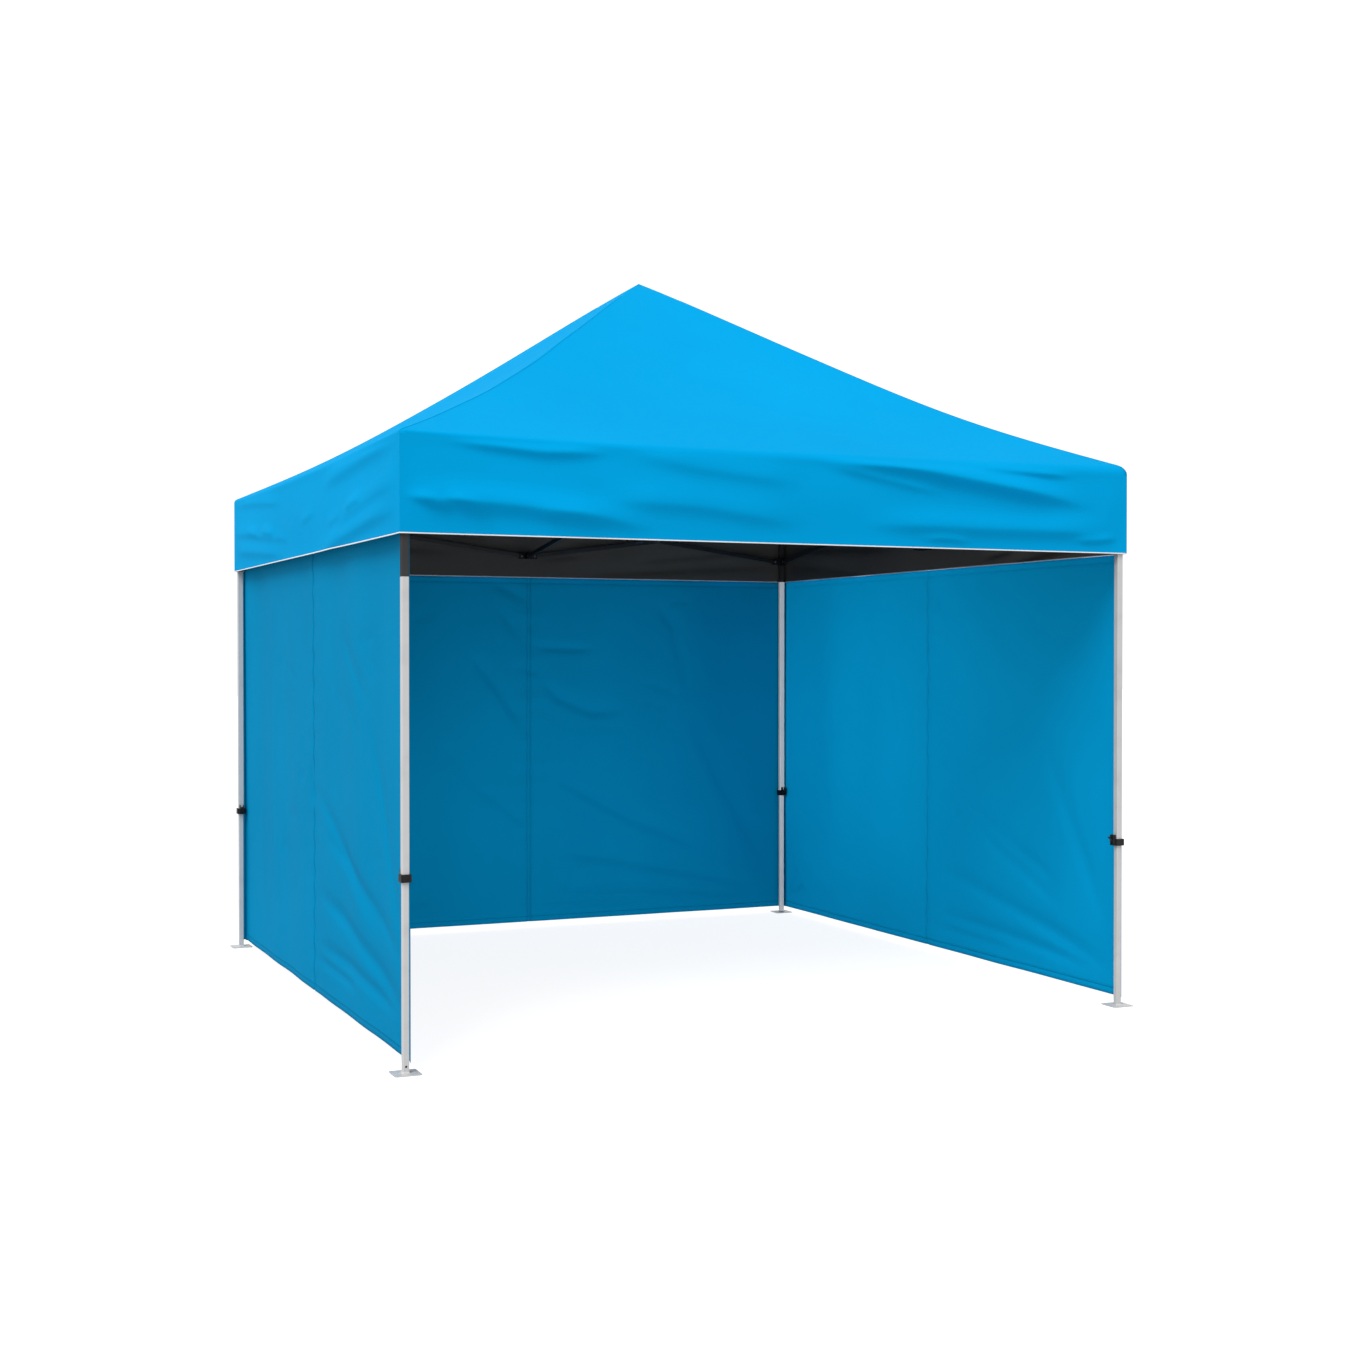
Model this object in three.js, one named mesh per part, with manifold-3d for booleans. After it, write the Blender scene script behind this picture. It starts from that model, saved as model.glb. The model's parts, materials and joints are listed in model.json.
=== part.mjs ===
// A 3 m pop-up canopy: four telescoping steel legs, a scissor truss that folds the frame,
// a centre pole that lifts the roof, a fabric cover with a valance, and three side walls.
// Millimetres, +Z up. The origin is on the ground at the middle of the four feet.
// +X runs to the right along the open front, and +Y runs to the back.
import * as THREE from 'three';
import { mergeVertices } from 'three/addons/utils/BufferGeometryUtils.js';
import Module from 'manifold-3d';

const wasm = await Module();
wasm.setup();

// Overall sizes
const LEG_SPAN = 2940; // between leg centres, both ways
const EAVE_Z = 2159; // outer top edge of the valance
const ROOF_RISE = 890; // eave to the outer tip of the roof
const VALANCE_DROP = 344;
const TRUSS_BELOW_EAVE = 44; // eave to the upper row of truss pivots
const TRUSS_DEPTH = 190; // upper pivots to lower pivots, frame open
const LOCK_Z = 658; // middle of the height locks
const LEG_OVERLAP = 492; // inner leg above the middle of its lock

// Tubes
const OUTER_LEG = 25; // square tube, across the flats
const LEG_WALL = 1;
const POLE_RADIUS = 9;
const BAR_WIDTH = 11; // truss bars, across the truss plane
const BAR_HEIGHT = 23;
const BAR_WALL = 1;
const LEG_CORNER = 2.5; // outside radius of a tube's corners
const BAR_CORNER = 2.5;
const CORNER_STEPS = 3; // straight pieces in each round corner

// Clearances
const SLIDE_GAP = 0.5; // a sleeve that slides on its tube
const SEAT_GAP = 0.3; // a sleeve that is fixed on its tube
const BAR_GAP = 1.2; // between the two bars of a crossing, filled by a washer
const FORK_GAP = 0.6; // between a bar and each ear of its fork
const FABRIC_GAP = 3; // between the frame and the fabric around it
const WALL_GAP = 2; // between the left wall and the locks that it hangs behind
const END_GAP = 0.5; // between the outer leg's end and the floor of its lock
const THROAT_GAP = 0.6; // between a bar's turning corner and the root of its fork

// Brackets
const EAR = 4; // wall of a fork ear
const EAR_LIP = 3.5; // ear above and below its bar
const BAR_OVERHANG = 13; // bar beyond its end pivot
const SLEEVE_WALL = 4.2; // top brackets and sliders
const SLEEVE_HEIGHT = 40;
const THROAT_ROOT = 2; // material between a block and the root of its fork
const LEG_NECK = 7.8; // extra length of the leg brackets' forks
const HUB_NECK = 3;
const MID_BLOCK = 30; // side of a middle bracket's square block
const HUB_BLOCK = 44;
const HUB_HEIGHT = 36;
const HUB_FLOOR = 6; // below the centre pole's foot
const CAP = 4; // top bracket above its leg

// Legs
const LEG_RISE = 13; // top of the bracket on the leg above its forks
const FOOT_SIZE = 95;
const FOOT_THICKNESS = 3;
const FOOT_CORNER = 10;
const WELD_DEPTH = 1; // the tube's end sunk into the plate
const PEG_HOLE_RADIUS = 5;
const PEG_HOLE_PLACE = 35; // from the leg's centre, both ways
const DRAIN_RADIUS = 4; // hole in the leg's outer face
const DRAIN_Z = 25;

// Height locks
const LOCK_WALL = 5.2;
const LOCK_HEIGHT = 27;
const LOCK_FLOOR = 5;
const CHEEK = 3.5;
const CHEEK_REACH = 12;
const CHEEK_RISE = 17; // above the lock's band
const LEVER_WIDTH = 13;
const LEVER_THICKNESS = 3;
const LEVER_LENGTH = 31;
const LEVER_BARREL = 4;
const LEVER_TILT = Math.PI / 4;

// Fabric
const FABRIC = 2;
const HIP_SAG = 55; // hollow of each hip line below a straight one
const SAG_SKEW = 1.4; // moves the deepest point of the sag towards the eave
const ROOF_RINGS = 9;
const WALL_GROUND_GAP = 30;
const WALL_TOP_GAP = 4; // below the valance

// Worked out from the sizes above
const HALF = LEG_SPAN / 2;
const PEAK_Z = EAVE_Z + ROOF_RISE;
const TRUSS_TOP_Z = EAVE_Z - TRUSS_BELOW_EAVE;
const INNER_LEG = OUTER_LEG - 2 * (LEG_WALL + SLIDE_GAP);
const SLEEVE_SIZE = OUTER_LEG + 2 * (SLIDE_GAP + SLEEVE_WALL);
const LOCK_SIZE = OUTER_LEG + 2 * (SEAT_GAP + LOCK_WALL);
const FORK_HEIGHT = BAR_HEIGHT + 2 * EAR_LIP;
const FORK_THROAT = Math.hypot(BAR_OVERHANG, BAR_HEIGHT / 2) + THROAT_GAP;
const FORK_REACH = Math.ceil(FORK_THROAT) + THROAT_ROOT; // a block's face to the pivot in its fork
const LEG_ARM = SLEEVE_SIZE / 2 + FORK_REACH + LEG_NECK; // leg centre to the pivot in its bracket
const MID_ARM = MID_BLOCK / 2 + FORK_REACH;
const HUB_ARM = HUB_BLOCK / 2 + FORK_REACH + HUB_NECK;
const BAR_RUN = HALF - LEG_ARM - MID_ARM; // along the truss, between end pivots
const BAR_SPAN = Math.hypot(BAR_RUN, TRUSS_DEPTH);
const BAR_TILT = Math.atan2(TRUSS_DEPTH, BAR_RUN);
const BAR_OFFSET = (BAR_WIDTH + BAR_GAP) / 2; // from the truss plane
const FORK_WIDTH = BAR_WIDTH + 2 * FORK_GAP + 2 * EAR;
const TRUSS_LOW_Z = TRUSS_TOP_Z - TRUSS_DEPTH;
const LEG_TOP_Z = TRUSS_TOP_Z + FORK_HEIGHT / 2 + LEG_RISE - CAP;
const VALANCE_INSIDE = HALF + LOCK_SIZE / 2 + FABRIC_GAP;
const VALANCE_OUTSIDE = VALANCE_INSIDE + FABRIC;
const VALANCE_BOTTOM_Z = EAVE_Z - VALANCE_DROP;
const LOCK_BOTTOM_Z = LOCK_Z - LOCK_HEIGHT / 2;
const LOCK_TOP_Z = LOCK_Z + LOCK_HEIGHT / 2;
const OUTER_LEG_BOTTOM_Z = LOCK_BOTTOM_Z + LOCK_FLOOR + END_GAP;
const INNER_LEG_TOP_Z = LOCK_Z + LEG_OVERLAP;

const SIDES = ['front', 'right', 'back', 'left'];
const CORNERS = ['front_left', 'front_right', 'back_right', 'back_left'];

// Materials
const finish = (color, roughness, metalness) => () =>
  new THREE.MeshStandardMaterial({ color, roughness, metalness });
const silverPaint = finish(0xc4c6c8, 0.4, 0.5);
const charcoalPaint = finish(0x2a2b2d, 0.5, 0.3);
const blackNylon = finish(0x161616, 0.5, 0);
const blueFabric = finish(0x00a3e0, 0.8, 0);

// Solids
function solidOf(geometry) {
  geometry.deleteAttribute('normal');
  geometry.deleteAttribute('uv');
  const merged = mergeVertices(geometry);
  const vertProperties = new Float32Array(merged.attributes.position.array);
  const triVerts = new Uint32Array(merged.index.array);
  return new wasm.Manifold(new wasm.Mesh({ numProp: 3, vertProperties, triVerts }));
}

function geometryOf(solid) {
  const { vertProperties, triVerts } = solid.getMesh();
  const geometry = new THREE.BufferGeometry();
  geometry.setAttribute('position', new THREE.BufferAttribute(vertProperties, 3));
  geometry.setIndex(new THREE.BufferAttribute(triVerts, 1));
  geometry.computeVertexNormals();
  return geometry;
}

// A box between two corners.
function block(low, high) {
  const size = high.map((value, i) => value - low[i]);
  const middle = high.map((value, i) => (value + low[i]) / 2);
  return solidOf(new THREE.BoxGeometry(...size).translate(...middle));
}

// A square tube or rod that stands on z = low.
function post(side, low, high) {
  return block([-side / 2, -side / 2, low], [side / 2, side / 2, high]);
}

// A round bar that stands on z = low.
function rod(radius, low, high) {
  const cylinder = new THREE.CylinderGeometry(radius, radius, high - low, 24);
  return solidOf(cylinder.rotateX(Math.PI / 2).translate(0, 0, (low + high) / 2));
}

function piece(name, solid, material, parent) {
  const mesh = new THREE.Mesh(geometryOf(solid), material());
  mesh.name = name;
  parent.add(mesh);
  return mesh;
}

// A fork along +X that holds a bar's end at `reach`, `offset` to the +Y side of the truss plane.
function fork(reach, offset) {
  const end = reach + BAR_OVERHANG;
  const half = FORK_WIDTH / 2;
  const tall = FORK_HEIGHT / 2;
  const slot = half - EAR;
  const arm = block([0, offset - half, -tall], [end, offset + half, tall]);
  return arm.subtract(
    block([reach - FORK_THROAT, offset - slot, -tall - 1], [end + 1, offset + slot, tall + 1])
  );
}

const turned = (solid, degrees) => solid.rotate([0, 0, degrees]);

// A rectangle with round corners, as a Shape or as a Path for a hole.
function roundRectangle(outline, width, height, radius) {
  const x = width / 2 - radius;
  const y = height / 2 - radius;
  const quarter = Math.PI / 2;
  outline.moveTo(x + radius, -y);
  outline.absarc(x, y, radius, 0, quarter);
  outline.absarc(-x, y, radius, quarter, 2 * quarter);
  outline.absarc(-x, -y, radius, 2 * quarter, 3 * quarter);
  outline.absarc(x, -y, radius, 3 * quarter, 4 * quarter);
  return outline;
}

// A hollow rectangular tube with open ends that stands on z = low.
function tube(width, height, wall, radius, low, high) {
  const section = roundRectangle(new THREE.Shape(), width, height, radius);
  section.holes.push(
    roundRectangle(new THREE.Path(), width - 2 * wall, height - 2 * wall, radius - wall / 2)
  );
  const settings = { depth: high - low, bevelEnabled: false, curveSegments: CORNER_STEPS };
  return solidOf(new THREE.ExtrudeGeometry(section, settings).translate(0, 0, low));
}

// A hollow truss bar along X, centred on its crossing.
function bar() {
  const reach = BAR_SPAN / 2 + BAR_OVERHANG;
  return tube(BAR_HEIGHT, BAR_WIDTH, BAR_WALL, BAR_CORNER, -reach, reach).rotate([0, 90, 0]);
}

// One bar, with `slope` 1 when it rises towards +X and -1 when it falls.
function placeBar(name, parent, middle, slope) {
  const mesh = piece(name, bar(), charcoalPaint, parent);
  mesh.position.set(...middle);
  mesh.rotation.y = -slope * BAR_TILT;
}

// Each corner is built as the front-left one and turned, so its trusses leave along +X and +Y.
function cornerBracket(armOffsetX, armOffsetY, hole, low, high) {
  const outside = SLEEVE_SIZE / 2;
  const alongX = fork(LEG_ARM, armOffsetX);
  const alongY = turned(fork(LEG_ARM, armOffsetY), 90);
  const sleeve = block([-outside, -outside, low], [outside, outside, high]);
  return sleeve.add(alongX).add(alongY).subtract(hole);
}

function topBracket() {
  const hole = post(OUTER_LEG + 2 * SEAT_GAP, -SLEEVE_HEIGHT, LEG_TOP_Z - TRUSS_TOP_Z + SEAT_GAP);
  const low = FORK_HEIGHT / 2 - SLEEVE_HEIGHT;
  const high = LEG_TOP_Z - TRUSS_TOP_Z + CAP;
  return cornerBracket(-BAR_OFFSET, BAR_OFFSET, hole, low, high);
}

function slider() {
  const half = SLEEVE_HEIGHT / 2;
  const hole = post(OUTER_LEG + 2 * SLIDE_GAP, -SLEEVE_HEIGHT, SLEEVE_HEIGHT);
  return cornerBracket(BAR_OFFSET, -BAR_OFFSET, hole, -half, half);
}

function outerLeg() {
  return tube(OUTER_LEG, OUTER_LEG, LEG_WALL, LEG_CORNER, OUTER_LEG_BOTTOM_Z, LEG_TOP_Z);
}

// The inner leg is welded to its foot plate, which has a peg hole in each corner.
function innerLeg() {
  const outline = roundRectangle(new THREE.Shape(), FOOT_SIZE, FOOT_SIZE, FOOT_CORNER);
  const settings = { depth: FOOT_THICKNESS, bevelEnabled: false, curveSegments: CORNER_STEPS };
  const bottom = FOOT_THICKNESS - WELD_DEPTH;
  let leg = solidOf(new THREE.ExtrudeGeometry(outline, settings));
  for (const [x, y] of [[-1, -1], [1, -1], [1, 1], [-1, 1]]) {
    const peg = rod(PEG_HOLE_RADIUS, -1, FOOT_THICKNESS + 1);
    leg = leg.subtract(peg.translate([x * PEG_HOLE_PLACE, y * PEG_HOLE_PLACE, 0]));
  }
  leg = leg.add(tube(INNER_LEG, INNER_LEG, LEG_WALL, LEG_CORNER, bottom, INNER_LEG_TOP_Z));
  const drain = rod(DRAIN_RADIUS, -INNER_LEG, 0).rotate([-90, 0, 0]);
  return leg.subtract(drain.translate([0, -INNER_LEG / 4, DRAIN_Z]));
}

// The height lock's band around the leg, with two cheeks on its +Y face that carry the lever.
function legLock() {
  const half = LOCK_SIZE / 2;
  const outerSeat = OUTER_LEG + 2 * SEAT_GAP;
  const innerSeat = INNER_LEG + 2 * SLIDE_GAP;
  const seatZ = LOCK_BOTTOM_Z + LOCK_FLOOR;
  let lock = post(LOCK_SIZE, LOCK_BOTTOM_Z, LOCK_TOP_Z);
  for (const side of [-1, 1]) {
    const inner = side * (LEVER_WIDTH / 2 + SLIDE_GAP);
    const outer = inner + side * CHEEK;
    const low = [Math.min(inner, outer), half - 1, LOCK_BOTTOM_Z];
    const high = [Math.max(inner, outer), half + CHEEK_REACH, LOCK_TOP_Z + CHEEK_RISE];
    lock = lock.add(block(low, high));
  }
  return lock
    .subtract(post(outerSeat, seatZ, LOCK_TOP_Z + 1))
    .subtract(post(innerSeat, LOCK_BOTTOM_Z - 1, seatZ + 1));
}

// The lever's barrel lies along X at the origin, and its blade rises away from the leg.
function lockLever() {
  const half = LEVER_WIDTH / 2;
  const barrel = rod(LEVER_BARREL, -half, half).rotate([0, 90, 0]);
  const blade = block(
    [-half, 0, -LEVER_THICKNESS / 2],
    [half, LEVER_LENGTH, LEVER_THICKNESS / 2]
  );
  return barrel.add(blade);
}

function addCorner(index, model) {
  const name = CORNERS[index];
  const corner = new THREE.Group();
  const lockTurn = new THREE.Group();
  const quarter = Math.PI / 2;
  corner.rotation.z = index * quarter;
  corner.updateMatrix();
  const spot = new THREE.Vector3(-HALF, -HALF, 0).applyMatrix4(corner.matrix);
  corner.position.copy(spot);
  // The back-left lever faces the front, clear of the left wall behind it.
  lockTurn.rotation.z = name === 'back_left' ? -quarter : 0;
  corner.add(lockTurn);
  model.add(corner);

  piece(`outer_leg_${name}`, outerLeg(), silverPaint, corner);
  piece(`inner_leg_${name}`, innerLeg(), silverPaint, corner);
  piece(`top_bracket_${name}`, topBracket(), blackNylon, corner).position.z = TRUSS_TOP_Z;
  piece(`slider_${name}`, slider(), blackNylon, corner).position.z = TRUSS_LOW_Z;
  piece(`leg_lock_${name}`, legLock(), blackNylon, lockTurn);
  const lever = piece(`lock_lever_${name}`, lockLever(), blackNylon, lockTurn);
  lever.position.set(0, LOCK_SIZE / 2 + LEVER_BARREL + SLIDE_GAP, LOCK_Z);
  lever.rotation.x = LEVER_TILT;
}

// A middle bracket of the front side: forks left and right along the side, and one to the hub.
function midBracket(sideOffset, crossOffset) {
  const half = MID_BLOCK / 2;
  const tall = FORK_HEIGHT / 2;
  const right = fork(MID_ARM, sideOffset);
  const left = turned(fork(MID_ARM, -sideOffset), 180);
  const inwards = turned(fork(MID_ARM, -crossOffset), 90);
  const centre = block([-half, -half, -tall], [half, half, tall]);
  return centre.add(right).add(left).add(inwards);
}

// Every side is built as the front one and turned.
function addSide(index, model) {
  const name = SIDES[index];
  const ends = [
    [-1, CORNERS[index]],
    [1, CORNERS[(index + 1) % CORNERS.length]],
  ];
  const side = new THREE.Group();
  side.rotation.z = index * Math.PI / 2;
  model.add(side);

  const upper = piece(`upper_mid_${name}`, midBracket(BAR_OFFSET, -BAR_OFFSET), blackNylon, side);
  upper.position.set(0, -HALF, TRUSS_TOP_Z);
  const lower = piece(`lower_mid_${name}`, midBracket(-BAR_OFFSET, BAR_OFFSET), blackNylon, side);
  lower.position.set(0, -HALF, TRUSS_LOW_Z);

  const middleZ = (TRUSS_TOP_Z + TRUSS_LOW_Z) / 2;
  const crossing = MID_ARM + BAR_RUN / 2;
  for (const [direction, corner] of ends) {
    const x = direction * crossing;
    placeBar(`rail_up_${name}_${corner}`, side, [x, -HALF - BAR_OFFSET, middleZ], direction);
    placeBar(`rail_down_${name}_${corner}`, side, [x, -HALF + BAR_OFFSET, middleZ], -direction);
  }
  const cross = new THREE.Group();
  cross.rotation.z = Math.PI / 2; // +X of this group points at the hub
  side.add(cross);
  const inwards = -(HUB_ARM + BAR_RUN / 2);
  placeBar(`cross_down_${name}`, cross, [inwards, -BAR_OFFSET, middleZ], 1);
  placeBar(`cross_up_${name}`, cross, [inwards, BAR_OFFSET, middleZ], -1);
}

// A hub of the centre: a square block with a fork towards each side.
function hub(offset) {
  const half = HUB_BLOCK / 2;
  const tall = HUB_HEIGHT / 2;
  let solid = block([-half, -half, -tall], [half, half, tall]);
  for (let index = 0; index < SIDES.length; index += 1) {
    solid = solid.add(turned(fork(HUB_ARM, offset), index * 90));
  }
  return solid;
}

function upperHub() {
  return hub(BAR_OFFSET).subtract(rod(POLE_RADIUS + SLIDE_GAP, -HUB_HEIGHT, HUB_HEIGHT));
}

// The pole stands in the lower hub, its rounded tip just under the roof's tip.
function lowerHub() {
  const tip = PEAK_Z - TRUSS_LOW_Z - 2 * FABRIC - FABRIC_GAP - POLE_RADIUS;
  return hub(-BAR_OFFSET).add(rod(POLE_RADIUS, HUB_FLOOR - HUB_HEIGHT / 2, tip));
}

// Height of the roof's outer surface at a share of the way from the tip to the eave.
function roofZ(share) {
  const straight = PEAK_Z - (PEAK_Z - EAVE_Z) * share;
  return straight - HIP_SAG * Math.sin(Math.PI * share ** SAG_SKEW);
}

// The cover as one shell: square rings from the tip to the eave, down the valance and back inside.
function canopyCover() {
  const rings = [];
  for (let i = 1; i <= ROOF_RINGS; i += 1) {
    const share = i / ROOF_RINGS;
    rings.push([VALANCE_OUTSIDE * share, roofZ(share)]);
  }
  rings.push([VALANCE_OUTSIDE, VALANCE_BOTTOM_Z]);
  rings.push([VALANCE_INSIDE, VALANCE_BOTTOM_Z]);
  for (let i = ROOF_RINGS; i >= 1; i -= 1) {
    const share = i / ROOF_RINGS;
    rings.push([VALANCE_INSIDE * share, roofZ(share) - FABRIC]);
  }
  const around = [[-1, -1], [0, -1], [1, -1], [1, 0], [1, 1], [0, 1], [-1, 1], [-1, 0]];
  const points = [0, 0, PEAK_Z];
  for (const [half, z] of rings) {
    for (const [x, y] of around) {
      points.push(x * half, y * half, z);
    }
  }
  points.push(0, 0, PEAK_Z - FABRIC);
  const n = around.length;
  const last = 1 + rings.length * n;
  const faces = [];
  for (let j = 0; j < n; j += 1) {
    const k = (j + 1) % n;
    faces.push(0, 1 + j, 1 + k);
    faces.push(last, last - n + k, last - n + j);
    for (let i = 0; i < rings.length - 1; i += 1) {
      const a = 1 + i * n;
      const b = a + n;
      faces.push(a + j, b + j, b + k);
      faces.push(a + j, b + k, a + k);
    }
  }
  const geometry = new THREE.BufferGeometry();
  geometry.setAttribute('position', new THREE.Float32BufferAttribute(points, 3));
  geometry.setIndex(faces);
  return solidOf(geometry);
}

// Left, back and right walls, joined at the back corners. The left one hangs inside its legs.
function sideWalls() {
  const high = VALANCE_BOTTOM_Z - WALL_TOP_GAP;
  const outside = VALANCE_OUTSIDE;
  const inside = VALANCE_INSIDE;
  const left = LOCK_SIZE / 2 + WALL_GAP - HALF;
  const leftInside = left + FABRIC;
  const plan = new THREE.Shape();
  plan.moveTo(left, left);
  plan.lineTo(leftInside, left);
  plan.lineTo(leftInside, inside);
  plan.lineTo(inside, inside);
  plan.lineTo(inside, -outside);
  plan.lineTo(outside, -outside);
  plan.lineTo(outside, outside);
  plan.lineTo(-outside, outside);
  plan.lineTo(-outside, inside);
  plan.lineTo(left, inside);
  const walls = new THREE.ExtrudeGeometry(plan, { depth: high - WALL_GROUND_GAP, bevelEnabled: false });
  return solidOf(walls.translate(0, 0, WALL_GROUND_GAP));
}

const canopy = new THREE.Group();
canopy.name = 'pop_up_canopy';
CORNERS.forEach((_, index) => addCorner(index, canopy));
SIDES.forEach((_, index) => addSide(index, canopy));
piece('upper_hub', upperHub(), blackNylon, canopy).position.z = TRUSS_TOP_Z;
piece('lower_hub_and_pole', lowerHub(), blackNylon, canopy).position.z = TRUSS_LOW_Z;
piece('canopy_cover', canopyCover(), blueFabric, canopy);
piece('side_walls', sideWalls(), blueFabric, canopy);

export default canopy;
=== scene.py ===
# A 3 m pop up canopy: fabric, trims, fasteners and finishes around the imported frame.
import json
import math

import bpy
import numpy as np
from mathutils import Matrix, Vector

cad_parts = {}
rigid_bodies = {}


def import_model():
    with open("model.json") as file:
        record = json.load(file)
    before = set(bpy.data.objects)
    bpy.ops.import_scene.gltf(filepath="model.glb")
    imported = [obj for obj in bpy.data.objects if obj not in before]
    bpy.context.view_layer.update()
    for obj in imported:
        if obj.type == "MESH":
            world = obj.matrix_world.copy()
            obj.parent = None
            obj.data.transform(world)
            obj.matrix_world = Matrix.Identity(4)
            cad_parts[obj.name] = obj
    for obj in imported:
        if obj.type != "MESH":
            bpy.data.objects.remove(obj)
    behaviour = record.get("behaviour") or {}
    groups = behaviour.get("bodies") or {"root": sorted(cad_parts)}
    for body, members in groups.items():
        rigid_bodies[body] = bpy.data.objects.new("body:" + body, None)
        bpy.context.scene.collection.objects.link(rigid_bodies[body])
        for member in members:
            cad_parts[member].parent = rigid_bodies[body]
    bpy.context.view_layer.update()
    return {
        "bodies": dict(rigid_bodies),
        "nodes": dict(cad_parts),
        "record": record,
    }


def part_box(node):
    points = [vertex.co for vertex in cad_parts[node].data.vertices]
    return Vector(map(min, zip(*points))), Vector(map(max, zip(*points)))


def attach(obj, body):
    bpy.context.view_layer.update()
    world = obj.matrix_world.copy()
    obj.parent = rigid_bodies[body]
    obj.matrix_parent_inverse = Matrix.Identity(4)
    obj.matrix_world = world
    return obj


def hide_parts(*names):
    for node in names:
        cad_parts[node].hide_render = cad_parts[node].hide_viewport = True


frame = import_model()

NODES = frame["nodes"]
BODIES = frame["bodies"]
CORNERS = ("front_left", "front_right", "back_right", "back_left")
SIDES = ("front", "right", "back", "left")

# Sizes taken from the frame, in metres.
LEG_LOW, LEG_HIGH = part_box("outer_leg_front_right")
COVER_LOW, COVER_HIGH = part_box("canopy_cover")
WALL_LOW, WALL_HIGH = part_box("side_walls")
HALF = (LEG_LOW.x + LEG_HIGH.x) / 2
OUTSIDE = COVER_HIGH.x
PEAK = COVER_HIGH.z
VALANCE_BOTTOM = COVER_LOW.z

# Sizes of the frame that its boxes don't give.
OUTER_LEG = 0.025
INNER_LEG = 0.022
FOOT_THICKNESS = 0.003
BAR_WIDTH = 0.011
# A bar lies this far beside the middle plane of its side or cross.
BAR_OFFSET = 0.0061
FORK_WIDTH = 0.0202
# From the middle of a leg or hub, or of a middle bracket, to the pivot of a bar's end.
BRACKET_REACH = 0.045
MIDDLE_REACH = 0.035

# Shape of the cover. The hips and the panels between them hang below straight lines.
VALANCE_DROP = 0.344
EAVE = VALANCE_BOTTOM + VALANCE_DROP
HIP_SAG = 0.055
SAG_SKEW = 1.4
PANEL_SAG = 0.018
EAVE_SAG = 0.014
CLOTH = 0.0012
SEAM_RIBBON = 0.014
SEAM_LIFT = 0.0004
SEAM_THICKNESS = 0.0004
BINDING_HEIGHT = 0.0030
BINDING_THICKNESS = 0.0013

# Rows and columns of one side of the cover's mesh.
COLUMNS = 108
ROOF_ROWS = 40
EDGE_ROWS = 6
VALANCE_ROWS = 42

# How the fabric gathers as the frame folds. Pleats are shares of the legs' travel.
PLEAT_PITCH = 0.24
PLEAT_ENDS = 0.15
COVER_PLEAT = 0.022
WALL_PLEAT = 0.028
TIP_SINK = 0.97
SINK_REACH = 0.66
ROOF_PLEAT = 0.05
ROOF_PLEAT_COUNT = 26


# ---------------------------------------------------------------- materials

def new_material(name):
    material = bpy.data.materials.new(name)
    material.use_nodes = True
    nodes = material.node_tree.nodes
    links = material.node_tree.links
    return material, nodes, links, nodes["Principled BSDF"]


def colour_ramp(nodes, low, high, low_at=0.3, high_at=0.7):
    ramp = nodes.new("ShaderNodeValToRGB")
    ramp.color_ramp.elements[0].position = low_at
    ramp.color_ramp.elements[1].position = high_at
    ramp.color_ramp.elements[0].color = (*low, 1)
    ramp.color_ramp.elements[1].color = (*high, 1)
    return ramp


def noise(nodes, links, coords, scale, detail=4.0):
    texture = nodes.new("ShaderNodeTexNoise")
    texture.inputs["Scale"].default_value = scale
    texture.inputs["Detail"].default_value = detail
    links.new(coords, texture.inputs["Vector"])
    return texture.outputs["Fac"]


def math_node(nodes, links, operation, a, b):
    node = nodes.new("ShaderNodeMath")
    node.operation = operation
    for socket, value in zip(node.inputs, (a, b)):
        if isinstance(value, (int, float)):
            socket.default_value = value
        else:
            links.new(value, socket)
    return node.outputs[0]


def weave(nodes, links, coords, pitch):
    """Height of a plain weave: the product of thread waves along the three axes."""
    scaled = nodes.new("ShaderNodeVectorMath")
    scaled.operation = "SCALE"
    scaled.inputs["Scale"].default_value = 2 * math.pi / pitch
    links.new(coords, scaled.inputs[0])
    waves = nodes.new("ShaderNodeVectorMath")
    waves.operation = "SINE"
    links.new(scaled.outputs[0], waves.inputs[0])
    split = nodes.new("ShaderNodeSeparateXYZ")
    links.new(waves.outputs[0], split.inputs[0])
    level = math_node(nodes, links, "ADD", split.outputs[0], split.outputs[1])
    return math_node(nodes, links, "ADD", level, split.outputs[2])


def scale_and_add(nodes, links, value, gain, base):
    """value * gain + base."""
    result = math_node(nodes, links, "MULTIPLY_ADD", value, gain)
    result.node.inputs[2].default_value = base
    return result


def add_bump(nodes, links, shader, height, strength, distance):
    bump = nodes.new("ShaderNodeBump")
    bump.inputs["Strength"].default_value = strength
    bump.inputs["Distance"].default_value = distance
    links.new(height, bump.inputs["Height"])
    links.new(bump.outputs["Normal"], shader.inputs["Normal"])


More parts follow.
